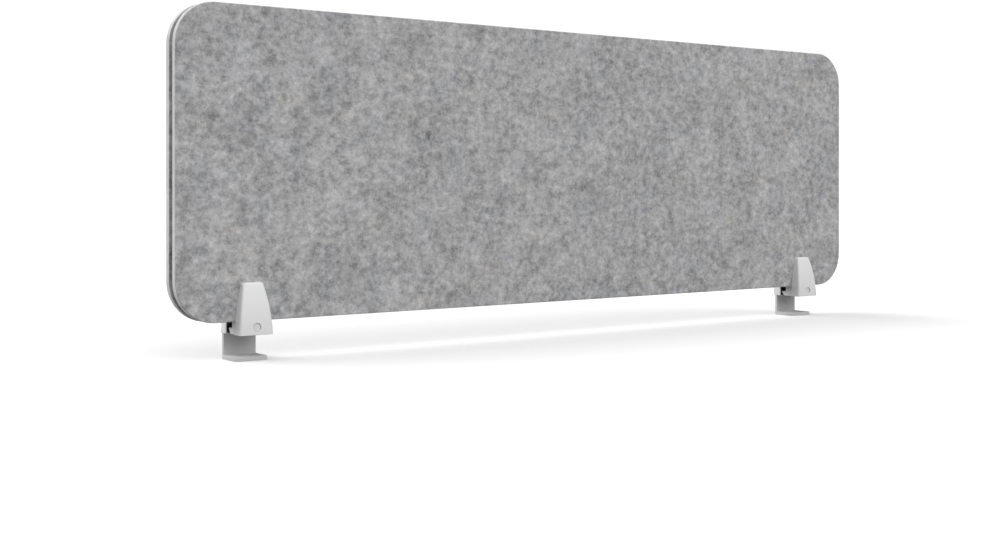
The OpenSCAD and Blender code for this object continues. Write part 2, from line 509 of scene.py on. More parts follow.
def new_piece(
    name: str, points: Sequence[Point], faces: Sequence[Sequence[int]], material: bpy.types.Material
) -> bpy.types.Object:
    """Makes a mesh object whose place is in its mesh.

    Args:
        name: The piece's name.
        points: Its vertices, in metres.
        faces: Its faces, as lists of vertex numbers.
        material: Its material.

    Returns:
        The object, linked to the scene, with its faces turned outwards.
    """
    mesh = bpy.data.meshes.new(name)
    mesh.from_pydata(points, [], faces)
    mesh.materials.append(material)
    piece = linked(name, mesh)
    turn_outwards(piece)
    return piece


def turn_outwards(piece: bpy.types.Object) -> None:
    """Turns a closed mesh's faces outwards."""
    shell = bmesh.new()
    shell.from_mesh(piece.data)
    bmesh.ops.recalc_face_normals(shell, faces=shell.faces)
    shell.to_mesh(piece.data)
    shell.free()


def smooth(piece: bpy.types.Object, crease_degrees: float = 32.0) -> None:
    """Shades a mesh smooth, apart from its creases, with its large faces kept level.

    Args:
        piece: The object.
        crease_degrees: The angle above which an edge stays sharp.
    """
    piece.data.shade_smooth()
    piece.data.set_sharp_from_angle(angle=math.radians(crease_degrees))
    modifier = piece.modifiers.new("level", "WEIGHTED_NORMAL")
    modifier.keep_sharp = True
    plain_mesh(piece)


def plain_mesh(piece: bpy.types.Object) -> None:
    """Applies a piece's modifiers by swapping its mesh for the evaluated one.

    Args:
        piece: The object, which has no modifiers afterwards.
    """
    graph = bpy.context.evaluated_depsgraph_get()
    graph.update()
    finished = bpy.data.meshes.new_from_object(piece.evaluated_get(graph))
    piece.modifiers.clear()
    spent = piece.data
    piece.data = finished
    bpy.data.meshes.remove(spent)
    finished.name = piece.name


def cut_or_join(piece: bpy.types.Object, tool: bpy.types.Object, operation: str) -> None:
    """Cuts a tool out of a piece, or joins it on, and removes the tool.

    Args:
        piece: The object that is kept.
        tool: The object that is used up.
        operation: DIFFERENCE or UNION.
    """
    modifier = piece.modifiers.new("joinery", "BOOLEAN")
    modifier.operation = operation
    modifier.solver = "EXACT"
    modifier.object = tool
    plain_mesh(piece)
    spent = tool.data
    bpy.data.objects.remove(tool)
    bpy.data.meshes.remove(spent)


def soften(piece: bpy.types.Object, radius: float, segments: int = 3, above_degrees: float = 40.0) -> None:
    """Rounds a piece's sharp edges.

    Args:
        piece: The object.
        radius: The rounding, in metres.
        segments: How many faces the rounding has.
        above_degrees: The angle above which an edge is rounded.
    """
    modifier = piece.modifiers.new("rounding", "BEVEL")
    modifier.width = radius
    modifier.segments = segments
    modifier.limit_method = "ANGLE"
    modifier.angle_limit = math.radians(above_degrees)
    modifier.use_clamp_overlap = True
    plain_mesh(piece)


def skin(rings: Sequence[Sequence[int]]) -> list[list[int]]:
    """Makes the faces between one ring of vertices and the next.

    Args:
        rings: The rings, each as its vertices' numbers; a ring of one vertex is a tip.

    Returns:
        The faces.
    """
    faces: list[list[int]] = []
    for near, far in zip(rings, rings[1:]):
        count = max(len(near), len(far))
        for step in range(count):
            after = (step + 1) % count
            below = [near[step % len(near)], near[after % len(near)]]
            above = [far[after % len(far)], far[step % len(far)]]
            faces.append(list(dict.fromkeys(below + above)))
    return faces


def bridged(
    name: str, near: Sequence[Point], far: Sequence[Point], material: bpy.types.Material
) -> bpy.types.Object:
    """Makes the closed solid between two outlines that have the same number of points."""
    count = len(near)
    ends = [list(range(count)), list(range(count, 2 * count))]
    return new_piece(name, [*near, *far], skin(ends) + ends, material)


def block(name: str, low: Point, high: Point, material: bpy.types.Material) -> bpy.types.Object:
    """Makes a box between two corners, for cutting or for rounding.

    Args:
        name: The object's name.
        low: Its lowest corner.
        high: Its highest corner.
        material: Its material.

    Returns:
        The box.
    """
    points = [(x, y, z) for x in (low[0], high[0]) for y in (low[1], high[1]) for z in (low[2], high[2])]
    faces = [(0, 1, 3, 2), (4, 6, 7, 5), (0, 4, 5, 1), (2, 3, 7, 6), (0, 2, 6, 4), (1, 5, 7, 3)]
    return new_piece(name, points, faces, material)


def turned(
    name: str,
    profile: Sequence[tuple[float, float]],
    centre: Point,
    material: bpy.types.Material,
    steps: int = 64,
) -> bpy.types.Object:
    """Turns a profile about a line parallel to Y, as on a lathe.

    Args:
        name: The object's name.
        profile: Its points as (Y, radius) from one end to the other, both ends on the axis.
        centre: A point on the axis; its Y is added to the profile's.
        material: Its material.
        steps: How many faces go round.

    Returns:
        The closed solid.
    """
    points: list[Point] = []
    rings: list[Sequence[int]] = []
    for along, radius in profile:
        first = len(points)
        for step in range(1 if radius == 0 else steps):
            angle = math.tau * step / steps
            out, up = radius * math.cos(angle), radius * math.sin(angle)
            points.append((centre[0] + out, centre[1] + along, centre[2] + up))
        rings.append(range(first, len(points)))
    return new_piece(name, points, skin(rings), material)


def bevelled_copy(node: str, name: str, radius: float, material: bpy.types.Material) -> bpy.types.Object:
    """Copies a CAD node as a clean mesh, with rounded edges if it is given a radius.

    Args:
        node: The CAD node.
        name: The new piece's name.
        radius: The rounding of its edges, in metres, or 0 to leave them sharp.
        material: Its material.

    Returns:
        The new piece.
    """
    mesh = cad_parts[node].data.copy()
    mesh.name = name
    mesh.materials.clear()
    mesh.materials.append(material)
    piece = linked(name, mesh)
    shell = bmesh.new()
    shell.from_mesh(mesh)
    bmesh.ops.remove_doubles(shell, verts=shell.verts, dist=0.001 * MM)
    bmesh.ops.dissolve_limit(shell, angle_limit=math.radians(0.5), verts=shell.verts, edges=shell.edges)
    bmesh.ops.recalc_face_normals(shell, faces=shell.faces)
    for face in shell.faces:
        face.material_index = 0
    shell.to_mesh(mesh)
    shell.free()
    if radius:
        soften(piece, radius)
    smooth(piece)
    return piece


class GrowthTree(NodeSheet):
    """A Geometry Nodes tree with named inputs, whose result becomes a plain mesh."""

    def __init__(self, name: str, **inputs: float) -> None:
        """Makes the tree.

        Args:
            name: The tree's name.
            inputs: Its named inputs: a whole number makes a count, any other a length or a share.
        """
        super().__init__(bpy.data.node_groups.new(name, "GeometryNodeTree"))
        self.values: dict[str, float] = {}
        face = self.tree.interface
        face.new_socket("Trunk", in_out="INPUT", socket_type="NodeSocketGeometry")
        face.new_socket("Grown", in_out="OUTPUT", socket_type="NodeSocketGeometry")
        for label, value in inputs.items():
            kind = "NodeSocketInt" if isinstance(value, int) else "NodeSocketFloat"
            self.values[face.new_socket(label, in_out="INPUT", socket_type=kind).identifier] = value
        self.entry = self.tree.nodes.new("NodeGroupInput")

    def given(self, label: str) -> Field:
        """One of the tree's inputs, by its name."""
        return Field(self, self.find_socket(self.entry.outputs, label))

    def vector(self, x: "float | Field" = 0.0, y: "float | Field" = 0.0, z: "float | Field" = 0.0) -> Field:
        """A vector with the three parts given."""
        return self.node("ShaderNodeCombineXYZ", None, {"X": x, "Y": y, "Z": z})

    def placed(self, shape: Field, place: Point, turn: Point = (0.0, 0.0, 0.0)) -> Field:
        """Turns a shape about the origin, in radians, and then moves it."""
        sockets = {"Geometry": shape, "Translation": place, "Rotation": turn}
        return self.node("GeometryNodeTransform", None, sockets)

    def swept(self, line: Field, sides: int, radius: Field) -> Field:
        """A closed rod with flat sides that follows a curve."""
        ring = self.node("GeometryNodeCurvePrimitiveCircle", None, {"Resolution": sides, "Radius": radius})
        sockets = {"Curve": line, "Profile Curve": ring, "Fill Caps": True}
        return self.node("GeometryNodeCurveToMesh", None, sockets)

    def grow(
        self, name: str, shape: Field, material: bpy.types.Material, trunk: "bpy.types.Mesh | None" = None
    ) -> bpy.types.Object:
        """Ends the tree and evaluates it.

        Args:
            name: The new piece's name.
            shape: What the tree makes.
            material: Its material.
            trunk: The mesh that it grows on, which it doesn't keep.

        Returns:
            The finished piece, with no modifier left on it.
        """
        whole = self.node("GeometryNodeRealizeInstances", None, {"Geometry": shape})
        dressed = self.node("GeometryNodeSetMaterial", None, {"Geometry": whole, "Material": material})
        self.node("NodeGroupOutput", None, {"Grown": dressed})
        piece = linked(name, trunk.copy() if trunk else bpy.data.meshes.new(name))
        modifier = piece.modifiers.new("growth", "NODES")
        modifier.node_group = self.tree
        for key, value in self.values.items():
            modifier[key] = value
        plain_mesh(piece)
        turn_outwards(piece)
        return piece


# ----- The felt screen -----


@dataclass
class FeltBoard:
    """One board of the screen: a rectangle with round corners, a cut edge and softly rounded rims."""

    node: str
    finish: bpy.types.Material
    facing: "Facing | None"
    corner_radius: float
    outer_rim: float = 1.3 * MM
    inner_rim: float = 0.5 * MM
    cell: float = 5.0 * MM
    arc_steps: int = 20
    rim_steps: int = 5
    rim_cut: float = 0.8
    rim_fade: float = 2.2
    wall_steps: int = 4
    edge_wander: float = 0.12 * MM
    face_wander: float = 0.16 * MM
    swell: float = 0.045
    ripple: float = 0.016
    ripple_share: float = 0.6
    nibble: Point = (0.006, 0.004, 0.006)

    def __post_init__(self) -> None:
        """Reads the board's size from its CAD node."""
        self.low, self.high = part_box(self.node)
        self.straight = (
            self.high.x - self.low.x - 2 * self.corner_radius,
            self.high.z - self.low.z - 2 * self.corner_radius,
        )
        self.cells = tuple(round(length / self.cell) for length in self.straight)

    def _ring(self, inset: float) -> list[tuple[float, float]]:
        """The outline drawn in by an inset, anticlockwise from the foot of the lower left corner.

        Args:
            inset: How far the outline is drawn in, up to the corner's radius.

        Returns:
            The outline's points as (X, Z).
        """
        radius = self.corner_radius - inset
        left, right = self.low.x + self.corner_radius, self.high.x - self.corner_radius
        foot, head = self.low.z + self.corner_radius, self.high.z - self.corner_radius
        corners = [(left, foot), (right, foot), (right, head), (left, head)]
        points: list[tuple[float, float]] = []
        for number, (x, z) in enumerate(corners):
            start = math.radians(180 + 90 * number)
            for step in range(self.arc_steps):
                angle = start + math.radians(90) * step / self.arc_steps
                points.append((x + radius * math.cos(angle), z + radius * math.sin(angle)))
            after = corners[(number + 1) % 4]
            out = (radius * math.cos(start + math.radians(90)), radius * math.sin(start + math.radians(90)))
            count = self.cells[number % 2]
            for step in range(count):
                share = step / count
                points.append(
                    (x + (after[0] - x) * share + out[0], z + (after[1] - z) * share + out[1])
                )
        return points

    def _profile(self) -> list[tuple[float, float, float]]:
        """The section through the edge, from the inner face to the outer one.

        Returns:
            Each ring's inset, its height above the inner face, and how far it belongs to the cut edge.
        """
        thickness = self.high.y - self.low.y
        rows: list[tuple[float, float, float]] = []
        arc = quarter(self.rim_steps)
        for step, (sine, cosine) in enumerate(arc):
            rows.append((self.inner_rim * (1 - sine), self.inner_rim * (1 - cosine), step / self.rim_steps))
        outer = self.outer_rim if self.facing else self.inner_rim
        wall = thickness - self.inner_rim - outer
        steps = self.wall_steps
        rows += [(0.0, self.inner_rim + wall * step / steps, 1.0) for step in range(1, steps)]
        for step, (sine, cosine) in enumerate(arc):
            share = max(0.0, self.rim_cut - self.rim_fade * step / self.rim_steps) if self.facing else 1.0
            rows.append((outer * (1 - cosine), thickness - outer * (1 - sine), share))
        return rows

    def _height(self, rise: float) -> float:
        """The Y of a point that is rise above the board's inner face."""
        return self.low.y + rise if self.facing is Facing.REAR else self.high.y - rise

    def _wander(self, x: float, rise: float, z: float, inset: float) -> Point:
        """Moves a point in by the felt's unevenness, and never out of the board's box.

        Args:
            x: The point's X.
            rise: Its height above the inner face.
            z: Its Z.
            inset: How far it is from the outline.

        Returns:
            The point's place.
        """
        thickness = self.high.y - self.low.y
        if self.facing and rise > thickness - self.outer_rim:
            swell = noise.noise(Vector((x / self.swell, 3.1, z / self.swell)))
            ripple = noise.noise(Vector((x / self.ripple, 7.7, z / self.ripple)))
            waves = (swell + self.ripple_share * ripple) / (1 + self.ripple_share)
            rise -= self.face_wander * (1 + waves) / 2
        centre = Vector(((self.low.x + self.high.x) / 2, 0, (self.low.z + self.high.z) / 2))
        if inset < 3 * self.outer_rim:
            place = [part / size for part, size in zip((x, rise, z), self.nibble)]
            wave = (1 + noise.noise(Vector(place))) / 2
            inward = Vector((centre.x - x, 0, centre.z - z)).normalized() * self.edge_wander * wave
            x, z = x + inward.x, z + inward.z
        return (x, self._height(rise), z)

    def build(self, name: str) -> bpy.types.Object:
        """Makes the board.

        Args:
            name: The new piece's name.

        Returns:
            The piece.
        """
        rows = self._profile()
        if self.facing:
            first_inset, top, _ = rows[-1]
            bands = round((self.corner_radius - first_inset) / self.cell)
            for band in range(1, bands):
                inset = first_inset + (self.corner_radius - first_inset) * band / bands
                rows.append((inset, top, 0.0))
        points: list[Point] = []
        cut: list[float] = []
        for inset, rise, share in rows:
            for x, z in self._ring(inset):
                points.append(self._wander(x, rise, z, inset))
                cut.append(share)
        count = len(points) // len(rows)
        last = (len(rows) - 1) * count
        faces = skin([range(first, first + count) for first in range(0, last + 1, count)])
        faces.append(list(range(count)))
        if self.facing:
            self._fill(points, cut, faces, last, rows[-1][1])
        else:
            faces.append(list(range(last, last + count)))
        piece = new_piece(name, points, faces, self.finish)
        attribute = piece.data.attributes.new("cut", "FLOAT", "POINT")
        attribute.data.foreach_set("value", cut)
        smooth(piece, 60.0)
        return piece

    def _fill(
        self, points: list[Point], cut: list[float], faces: list[list[int]], last: int, rise: float
    ) -> None:
        """Fills the board's outer face inside its last ring with an even grid.

        Args:
            points: The board's vertices, which the grid's are added to.
            cut: Their shares of the cut edge, likewise.
            faces: The board's faces, likewise.
            last: The number of the last ring's first vertex.
            rise: The face's height above the inner face.
        """
        across, up = self.cells
        left, foot = self.low.x + self.corner_radius, self.low.z + self.corner_radius
        first = len(points)
        for row in range(up + 1):
            for column in range(across + 1):
                x = left + self.straight[0] * column / across
                z = foot + self.straight[1] * row / up
                points.append(self._wander(x, rise, z, self.corner_radius))
                cut.append(0.0)

        def at(column: int, row: int) -> int:
            """The grid vertex in a column and a row."""
            return first + row * (across + 1) + column

        for row in range(up):
            for column in range(across):
                faces.append(
                    [at(column, row), at(column + 1, row), at(column + 1, row + 1), at(column, row + 1)]
                )
        border = [at(column, 0) for column in range(across)]
        border += [at(across, row) for row in range(up)]
        border += [at(column, up) for column in range(across, 0, -1)]
        border += [at(0, row) for row in range(up, 0, -1)]
        lengths = (across, up, across, up)
        ring = last
        edge = 0
        total = 4 * self.arc_steps + 2 * (across + up)
        for length in lengths:
            for _ in range(self.arc_steps):
                after = last + (ring + 1 - last) % total
                faces.append([ring, after, border[edge]])
                ring = after
            for _ in range(length):
                after = last + (ring + 1 - last) % total
                faces.append([ring, after, border[(edge + 1) % len(border)], border[edge]])
                ring = after
                edge += 1


def stray_fibres(board: bpy.types.Object, material: bpy.types.Material, seed: int) -> bpy.types.Object:
    """Grows short stray fibres on a board's cut edge.

    Args:
        board: The finished board, with its "cut" attribute.
        material: The fibres' material.
        seed: The seed of their places and leans.

    Returns:
        The fibres, as one piece.
    """
    tree = GrowthTree(
        f"{board.name}_fibre_growth",
        Density=42000.0,
        Length=1.8 * MM,
        Thickness=0.035 * MM,
        Bow=0.5 * MM,
        Seed=seed,
    )
    cut = tree.node("GeometryNodeInputNamedAttribute", {"data_type": "FLOAT"}, {"Name": "cut"}, "Attribute")
    density = tree.given("Density") * (cut**4)
    sockets = {"Mesh": tree.given("Trunk"), "Density": density, "Seed": tree.given("Seed")}
    roots = tree.node("GeometryNodeDistributePointsOnFaces", {"distribute_method": "RANDOM"}, sockets)
    away = Field(tree, tree.find_socket(roots.socket.node.outputs, "Normal"))
    length = tree.given("Length")
    strand = tree.node(
        "GeometryNodeCurveQuadraticBezier",
        None,
        {
            "Resolution": 4,
            "Start": tree.vector(z=length * -0.05),
            "Middle": tree.vector(x=tree.given("Bow"), z=length * 0.5),
            "End": tree.vector(z=length),
        },
    )
    fibre = tree.swept(strand, 3, tree.given("Thickness"))

    def chance(low: "float | Point", high: "float | Point", kind: str, step: int) -> Field:
        """A value drawn for each fibre between two limits."""
        end = "_001" if kind == "FLOAT" else ""
        sockets = {f"Min{end}": low, f"Max{end}": high, "Seed": tree.given("Seed") + step}
        return tree.node("FunctionNodeRandomValue", {"data_type": kind}, sockets, f"Value{end}")

    lean = chance((-1.0, -1.0, -1.0), (1.0, 1.0, 1.0), "FLOAT_VECTOR", 1)
    way = tree.node("ShaderNodeVectorMath", {"operation": "ADD"}, {0: away, 1: lean}, "Vector")
    turn = tree.node("FunctionNodeAlignRotationToVector", {"axis": "Z"}, {"Vector": way})
    sockets = {"Points": roots, "Instance": fibre, "Rotation": turn, "Scale": chance(0.25, 1.0, "FLOAT", 2)}
    grown = tree.node("GeometryNodeInstanceOnPoints", None, sockets)
    return tree.grow(f"{board.name}_fibres", grown, material, board.data)


@dataclass
class FeltScreen:
    """The screen: two light felt boards and the darker board set back between them, whose dark grey is
    painted shade for the groove.
    """

    corner_radius: float = 50.0 * MM
    felt: NeedledFelt = NeedledFelt("mottled_grey_felt")
    # The set-back board's dark greys are painted shade: they darken the groove between the light boards,
    # where shade falls.
    core: NeedledFelt = NeedledFelt(
        "dark_core_felt",
        dark=grey(0.085),
        light=grey(0.23),
        warm_light=grey(0.23),
        fleck=grey(0.06),
        cut_edge=grey(0.16),
        edge_share=0.3,
    )

    def build(self) -> None:
        """Makes the three boards and puts them on the screen's body."""
        felt = self.felt.material()
        core = self.core.material()
        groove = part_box("core_board")[0].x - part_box("front_felt_board")[0].x
        boards = (
            FeltBoard("front_felt_board", felt, Facing.FRONT, self.corner_radius),
            FeltBoard("core_board", core, None, self.corner_radius - groove),
            FeltBoard("rear_felt_board", felt, Facing.REAR, self.corner_radius),
        )
        for seed, board in enumerate(boards):
            piece = board.build(f"{board.node}_nap")
            seat(piece, PANEL_BODY, board.node)
            if board.facing:
                seat(stray_fibres(piece, felt, seed), PANEL_BODY)


# ----- The clamps -----


@dataclass(frozen=True)
class JawShape:
    """The tapered form that both jaws share, as heights above the foot of the jaw."""

    foot_width: float
    height: float
    foot_reach: float
    top_reach: float
    top_width: float = 26.0 * MM
    lean: float = math.tan(math.radians(2.6))
    edge_radius: float = 3.6 * MM
    top_radius: float = 2.4 * MM
    foot_radius: float = 0.5 * MM
    foot_steps: int = 4
    body_steps: int = 44
    top_steps: int = 8
    edge_steps: int = 12

    def half_width(self, height: float) -> float:
        """Half the jaw's width at a height above its foot."""
        drop = (self.foot_width - self.top_width) / 2 - self.lean * self.height
        return self.foot_width / 2 - self.lean * height - drop * (height / self.height) ** 2

    def reach(self, height: float) -> float:
        """How far the jaw stands out from the screen at a height above its foot."""
        return self.foot_reach - (self.foot_reach - self.top_reach) * (height / self.height) ** 2

    def levels(self) -> list[tuple[float, float]]:
        """The heights of the jaw's sections, and how far each is drawn in by its rounding.

        Returns:
            Each section's height and inset, from the foot up.
        """
        radius = self.foot_radius
        arc = quarter(self.foot_steps)[:-1]
        foot = [(radius * (1 - cosine), radius * (1 - sine)) for sine, cosine in arc]
        low, high = radius, self.height - self.top_radius
        steps = self.body_steps
        body = [(low + (high - low) * step / steps, 0.0) for step in range(steps + 1)]
        radius = self.top_radius
        top = [(high + radius * sine, radius * (1 - cosine)) for sine, cosine in quarter(self.top_steps, 1)]
        return foot + body + top


def jaw_form(
    name: str, shape: JawShape, back: Point, facing: Facing, material: bpy.types.Material
) -> bpy.types.Object:
    """Lofts a jaw's solid form.

    Args:
        name: The object's name.
        shape: The jaw's form.
        back: The middle of the foot of the jaw's flat back.
        facing: The way that the jaw stands out.
        material: Its material.

    Returns:
        The closed form.
    """
    points: list[Point] = []
    sections: list[list[int]] = []
    for height, inset in shape.levels():
        width = shape.half_width(height) - inset
        reach = shape.reach(height) - inset
        radius = shape.edge_radius
        corner = [
            (width - radius + radius * cosine, reach - radius + radius * sine)
            for sine, cosine in quarter(shape.edge_steps)
        ]
        outline = [(-width, 0.0)] + [(-x, y) for x, y in corner] + corner[::-1] + [(width, 0.0)]
        first = len(points)
        points += [(back[0] + x, back[1] + facing.value * out, back[2] + height) for x, out in outline]
        sections.append(list(range(first, len(points))))
    return new_piece(name, points, skin(sections) + [sections[0], sections[-1]], material)


@dataclass
class ClampFinishes:
    """The materials that both clamps share."""

    coat: bpy.types.Material
    # The hook's coat is the jaws' grey made darker: painted shade for the hook's upright, which stands in
    # shade under the jaws.
    hook_coat: bpy.types.Material
    cap: bpy.types.Material
    rubber: bpy.types.Material
    zinc: bpy.types.Material


@dataclass
class Clamp:
    """One clamp: two jaws that grip the screen, the screw between them and the desk hook.

    Every form that is cut out or joined on runs past the surface that it meets, by the field past.
    """

    side: Side
    finishes: ClampFinishes
    past: float = 1.0 * MM
    front_top_reach: float = 7.0 * MM
    rear_top_reach: float = 6.5 * MM
    tongue_half: float = 18.2 * MM
    tongue_height: float = 7.0 * MM
    tongue_lip: float = 1.0 * MM
    tongue_slant: float = 4.6 * MM
    tongue_edge: float = 0.5 * MM
    step_half: float = 17.5 * MM
    step_length: float = 15.2 * MM
    tang_half: float = 13.0 * MM
    plate: float = 4.2 * MM
    plate_edge: float = 0.45 * MM
    channel_play: float = 0.15 * MM
    channel_head: float = 1.5 * MM
    strip_thickness: float = 0.3 * MM
    strip_edge: float = 0.12 * MM
    strip_gap: float = 0.4 * MM
    strip_rise: float = 0.6 * MM
    counterbore_radius: float = 5.3 * MM
    mouth_flare: float = 0.35 * MM
    cap_rim: float = 0.8 * MM
    cap_wall: float = 1.0 * MM
    cap_web: float = 1.2 * MM
    shank_radius: float = 3.0 * MM
    shank_play: float = 0.3 * MM
    seat_depth: float = 7.1 * MM
    screw_edge: float = 0.4 * MM
    socket_radius: float = 2.5 * MM / math.cos(math.radians(30))
    socket_depth: float = 3.0 * MM
    thread_pitch: float = 1.0 * MM
    thread_depth: float = 0.5 * MM
    thread_length: float = 26.0 * MM
    thread_sunk: float = 0.03 * MM
    nut_edge: float = 0.25 * MM
    grip_edge: float = 0.3 * MM
    pad_edge: float = 0.25 * MM
    pad_play: float = 0.2 * MM
    pad_rib: float = 0.4 * MM
    rib_count: int = 10

    def __post_init__(self) -> None:
        """Reads the clamp's place and sizes from the CAD model."""
        self.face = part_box("front_felt_board")[0].y
        self.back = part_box("rear_felt_board")[1].y
        self.jaw_low, self.jaw_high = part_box(self.node("front_jaw"))
        self.rear_low, self.rear_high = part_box(self.node("rear_jaw"))
        screw_low, screw_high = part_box(self.node("clamp_screw"))
        self.screw = (screw_low + screw_high) / 2
        self.x = self.screw.x

    def node(self, name: str) -> str:
        """The clamp's own CAD node or body of that name."""
        return f"{self.side.label}_{name}"

    def build(self) -> None:
        """Makes every piece of the clamp."""
        self.front_jaw()
        self.rear_jaw()
        self.desk_hook()
        self.screw_cap()
        self.pads()
        self.fasteners()

    def front_jaw(self) -> None:
        """Makes the front jaw, with the block and the tongue that it passes under the screen."""
        name, coat = self.node("front_jaw"), self.finishes.coat
        shape = JawShape(
            foot_width=self.jaw_high.x - self.jaw_low.x,
            height=self.jaw_high.z - self.jaw_low.z,
            foot_reach=self.face - self.jaw_low.y,
            top_reach=self.front_top_reach,
        )
        foot = self.jaw_low.z
        jaw = jaw_form(f"{name}_casting", shape, (self.x, self.face, foot), Facing.FRONT, coat)
        cut_or_join(jaw, self._tongue(foot), "UNION")
        front = self.face - shape.reach(self.screw.z - foot)
        cut_or_join(jaw, self._counterbore(front), "DIFFERENCE")
        cut_or_join(jaw, self._recess("desk_pad", (0.0, 0.0, -1.0)), "DIFFERENCE")
        cut_or_join(jaw, self._recess("front_grip_pad", (0.0, 1.0, 0.0)), "DIFFERENCE")
        smooth(jaw)
        seat(jaw, name, name)

    def _tongue(self, foot: float) -> bpy.types.Object:
        """Makes the block under the screen and the chamfered tongue below it.

        Args:
            foot: The height of the jaw's underside.

        Returns:
            The joined block and tongue.
        """
        coat, height = self.finishes.coat, self.tongue_height
        inside, end = self.face - self.past, self.jaw_high.y
        outline = [(inside, 0.0), (end - self.tongue_slant, 0.0), (end, height - self.tongue_lip)]
        outline += [(end, height), (inside, height)]
        ends = (-self.tongue_half, self.tongue_half)
        tongue = bridged("tongue", *([(self.x + x, y, foot + z) for y, z in outline] for x in ends), coat)
        soften(tongue, self.tongue_edge, above_degrees=25.0)
        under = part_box("front_felt_board")[0].z
        low = (self.x - self.step_half, inside, foot + self.past)
        step = block("step", low, (self.x + self.step_half, self.face + self.step_length, under), coat)
        soften(step, self.tongue_edge)
        cut_or_join(tongue, step, "UNION")
        return tongue

    def _recess(self, pad: str, outwards: Point) -> bpy.types.Object:
        """Makes the tool that cuts a pad's recess: the pad, a little larger and open on one side.

        Args:
            pad: The pad's name.
            outwards: The way that the recess opens.

        Returns:
            The tool.
        """
        low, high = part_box(self.node(pad))
        centre, size = (low + high) / 2, high - low
        tool = bevelled_copy(self.node(pad), "recess", 0.0, self.finishes.coat)
        sides = [1 - abs(way) for way in outwards]
        grown = [1 + 2 * self.pad_play * side / length for side, length in zip(sides, size)]
        grown = [share if side else 2.0 for share, side in zip(grown, sides)]
        shift = Vector(outwards) * (size.dot(Vector([abs(way) for way in outwards])) / 2)
        stretch = Matrix.Diagonal((*grown, 1.0))
        tool.data.transform(Matrix.Translation(centre + shift) @ stretch @ Matrix.Translation(-centre))
        return tool

    def _counterbore(self, front: float) -> bpy.types.Object:
        """Makes the tool that cuts the screw's counterbore, with a slightly flared mouth.

        Args:
            front: The Y of the jaw's face at the screw.

        Returns:
            The tool.
        """
        radius, flare, past = self.counterbore_radius, self.mouth_flare, 2 * self.past
        bottom, end = self.face - self.seat_depth, self.jaw_high.y + self.past
        bore = self.shank_radius + self.shank_play
        profile = [(front - past, 0.0), (front - past, radius + flare + past), (front + flare, radius)]
        profile += [(bottom, radius), (bottom, bore), (end, bore), (end, 0.0)]
        return turned("counterbore", profile, (self.x, 0.0, self.screw.z), self.finishes.coat)

    def rear_jaw(self) -> None:
        """Makes the rear jaw, with the ledge under the screen, the channel for the hook and a black strip
        of painted shade in the gap.
        """
        name, coat = self.node("rear_jaw"), self.finishes.coat
        shape = JawShape(
            foot_width=self.rear_high.x - self.rear_low.x,
            height=self.rear_high.z - self.rear_low.z,
            foot_reach=self.rear_high.y - self.back,
            top_reach=self.rear_top_reach,
        )
        foot = self.rear_low.z
        jaw = jaw_form(f"{name}_casting", shape, (self.x, self.back, foot), Facing.REAR, coat)
        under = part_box("rear_felt_board")[0].z
        half = shape.foot_width / 2
        top_half = shape.half_width(under - foot)
        outline = [(-half, foot), (half, foot), (top_half, under), (-top_half, under)]
        depths = (self.rear_low.y, self.back + self.past)
        ledge = bridged("ledge", *([(self.x + x, y, z) for x, z in outline] for y in depths), coat)
        cut_or_join(jaw, ledge, "UNION")
        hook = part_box(self.node("desk_hook"))[1]
        play = self.channel_play
        half = self.tang_half + play
        channel = block(
            "channel",
            (self.x - half, hook.y - self.plate - play, foot - self.past),
            (self.x + half, hook.y + play, hook.z + self.channel_head),
            coat,
        )
        cut_or_join(jaw, channel, "DIFFERENCE")
        cut_or_join(jaw, self._recess("rear_grip_pad", (0.0, -1.0, 0.0)), "DIFFERENCE")
        smooth(jaw)
        seat(jaw, PANEL_BODY, name)
        # A thin black rubber strip on the ledge's front face, in the gap between the jaws: painted shade
        # that darkens the gap under the screen.
        half, thick = top_half - self.strip_gap, self.strip_thickness
        strip = block(
            f"{name}_buffer",
            (self.x - half, self.rear_low.y - thick, foot + self.strip_rise),
            (self.x + half, self.rear_low.y + thick, under - self.strip_gap),
            self.finishes.rubber,
        )
        soften(strip, self.strip_edge)
        smooth(strip)
        seat(strip, PANEL_BODY)

    def desk_hook(self) -> None:
        """Makes the desk hook: its foot, upright and slotted tang."""
        name = self.node("desk_hook")
        # The hook's darker coat is painted shade for its shaded upright.
        hook = bevelled_copy(name, f"{name}_plate", self.plate_edge, self.finishes.hook_coat)
        seat(hook, name, name)

    def screw_cap(self) -> None:
        """Makes the round cap that hides the screw, its face slightly domed at the rim."""
        name = self.node("screw_cap")
        low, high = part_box(name)
        radius = (high.x - low.x) / 2
        depth = high.y - low.y
        rim = self.cap_rim
        inside, web = radius - self.cap_wall, self.cap_web
        profile = [(0.0, 0.0), (0.0, radius - rim)]
        profile += [(rim * (1 - cosine), radius - rim + rim * sine) for sine, cosine in quarter(5, 1)]
        profile += [(depth, radius), (depth, inside), (web, inside), (web, 0.0)]
        cap = turned(f"{name}_disc", profile, (self.x, low.y, self.screw.z), self.finishes.cap, steps=96)
        smooth(cap)
        seat(cap, self.node("front_jaw"), name)

    def pads(self) -> None:
        """Dresses the rubber pads."""
        rubber = self.finishes.rubber
        for name, body in (("front_grip_pad", self.node("front_jaw")), ("rear_grip_pad", PANEL_BODY)):
            node = self.node(name)
            seat(bevelled_copy(node, f"{node}_rubber", self.grip_edge, rubber), body, node)
        name, body = self.node("desk_pad"), self.node("front_jaw")
        low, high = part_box(name)
        rib = self.pad_rib
        plate = block(f"{name}_rubber", (low.x, low.y, low.z + rib), tuple(high), rubber)
        soften(plate, self.pad_edge)
        smooth(plate)
        seat(plate, body, name)
        seat(self._pad_ribs(f"{name}_ribs", low, high, rib), body)

